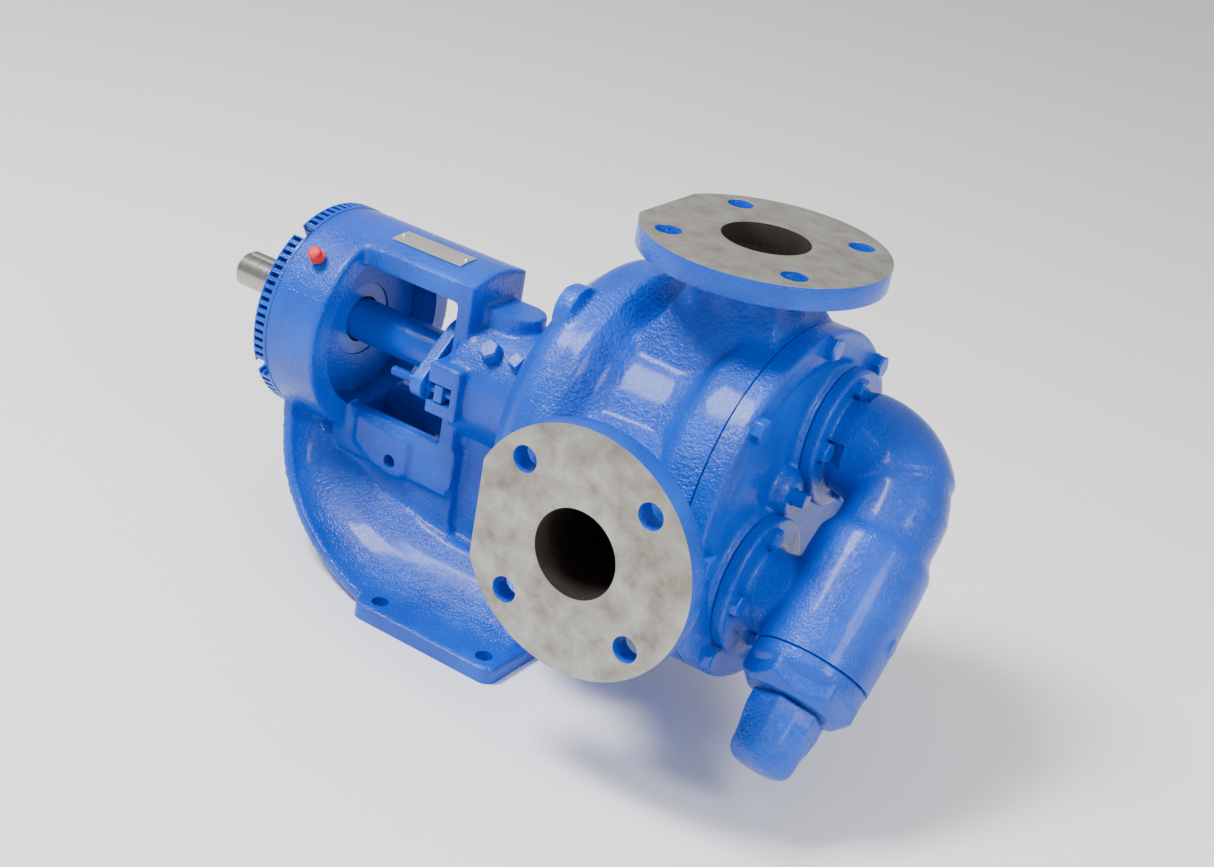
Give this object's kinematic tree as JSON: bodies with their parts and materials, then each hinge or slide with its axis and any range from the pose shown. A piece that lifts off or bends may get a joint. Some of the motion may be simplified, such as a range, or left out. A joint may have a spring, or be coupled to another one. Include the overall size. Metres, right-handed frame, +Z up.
{
  "type": "internal gear pump",
  "caption": "Foot-mounted internal gear pump with a bearing bracket, castellated bearing housing, packing gland, flanged side and top ports and a relief valve on its head.",
  "frame": {"origin": "centre of the mounting foot's underside", "axes": "+X along the shaft from the coupling end towards the head and relief valve, -Y the side port's outward direction, +Z up, the top port's outward direction"},
  "size_m": [0.6424, 0.3162, 0.3603],
  "materials": {
    "blue_enamel": "glossy blue enamel over sand-cast iron",
    "machined_iron": "bare machined grey iron",
    "shaft_steel": "ground steel",
    "bronze": "bearing bronze",
    "packing": "braided graphite packing",
    "gasket_sheet": "compressed fibre sheet",
    "seal_rubber": "matte black rubber",
    "red_cap_plastic": "soft red plastic",
    "nameplate_metal": "brushed, blank"
  },
  "bodies": {
    "frame": {"bracket": "blue_enamel", "casing": "blue_enamel", "head": "blue_enamel", "head_gasket": "gasket_sheet", "bracket_gasket": "gasket_sheet", "bracket_bushing": "bronze", "packing_ring_inner": "packing", "packing_ring_outer": "packing", "lantern_ring": "bronze", "gland_stud_near": "shaft_steel", "gland_stud_far": "shaft_steel", "gland_nut_near": "blue_enamel", "gland_nut_far": "blue_enamel", "idler_pin": "shaft_steel", "idler_pin_plug": "blue_enamel", "grease_fitting": "shaft_steel", "grease_fitting_cap": "red_cap_plastic", "nameplate": "nameplate_metal", "neck_plug": "blue_enamel", "neck_capscrew": "blue_enamel", "valve_body": "blue_enamel", "valve_gasket_upper": "gasket_sheet", "valve_gasket_lower": "gasket_sheet", "valve_bonnet": "blue_enamel", "valve_cap": "blue_enamel", "valve_adjusting_locknut": "shaft_steel", "valve_spring": "shaft_steel", "head_capscrew_1": "blue_enamel", "head_capscrew_2": "blue_enamel", "head_capscrew_3": "blue_enamel", "head_capscrew_4": "blue_enamel", "head_capscrew_5": "blue_enamel", "head_capscrew_6": "blue_enamel", "head_capscrew_7": "blue_enamel", "head_capscrew_8": "blue_enamel", "valve_upper_capscrew_1": "blue_enamel", "valve_upper_capscrew_2": "blue_enamel", "valve_upper_capscrew_3": "blue_enamel", "valve_upper_capscrew_4": "blue_enamel", "valve_lower_capscrew_1": "blue_enamel", "valve_lower_capscrew_2": "blue_enamel", "valve_lower_capscrew_3": "blue_enamel", "valve_lower_capscrew_4": "blue_enamel"},
    "bearing_carrier": {"bearing_housing": "blue_enamel", "bearing_end_cap": "blue_enamel", "bearing_outer_race": "shaft_steel", "lip_seal_inboard": "seal_rubber", "lip_seal_outboard": "seal_rubber"},
    "shaft_line": {"shaft": "shaft_steel", "shaft_key": "shaft_steel", "rotor": "machined_iron", "bearing_inner_race": "shaft_steel", "bearing_locknut": "shaft_steel"},
    "idler": {"idler_gear": "machined_iron", "idler_bushing": "bronze"},
    "ball_ring": {"bearing_ball_cage": "shaft_steel"},
    "gland": {"packing_gland": "blue_enamel"},
    "relief_poppet": {"valve_poppet": "shaft_steel"},
    "valve_adjuster": {"valve_adjusting_screw": "shaft_steel", "valve_spring_guide": "shaft_steel"}
  },
  "joints": [
    {"name": "bearing_adjust", "type": "hinge", "parent": "frame", "child": "bearing_carrier", "pos_m": [-0.1925, 0, 0.1778], "axis": [1, 0, 0], "range_deg": [-45, 45]},
    {"name": "shaft_spin", "type": "hinge", "parent": "frame", "child": "shaft_line", "pos_m": [-0.0425, 0, 0.1778], "axis": [1, 0, 0], "continuous": true},
    {"name": "idler_spin", "type": "hinge", "parent": "frame", "child": "idler", "pos_m": [0.1575, -0.0164, 0.1942], "axis": [1, 0, 0], "continuous": true},
    {"name": "ball_ring_spin", "type": "hinge", "parent": "frame", "child": "ball_ring", "pos_m": [-0.1995, 0, 0.1778], "axis": [1, 0, 0], "continuous": true},
    {"name": "gland_slide", "type": "slide", "parent": "frame", "child": "gland", "axis": [1, 0, 0], "range_m": [-0.012, 0]},
    {"name": "relief_lift", "type": "slide", "parent": "frame", "child": "relief_poppet", "axis": [0, -0.7071, -0.7071], "range_m": [0, 0.008], "stiffness_N_per_m": 4000, "springref_m": -0.004, "deforming": ["valve_spring"]},
    {"name": "relief_adjust", "type": "slide", "parent": "frame", "child": "valve_adjuster", "axis": [0, -0.7071, -0.7071], "range_m": [-0.003, 0.003]}
  ],
  "couplings": [
    {"joint": "idler_spin", "follows": "shaft_spin", "ratio": 1.5},
    {"joint": "ball_ring_spin", "follows": "shaft_spin", "ratio": 0.4}
  ]
}
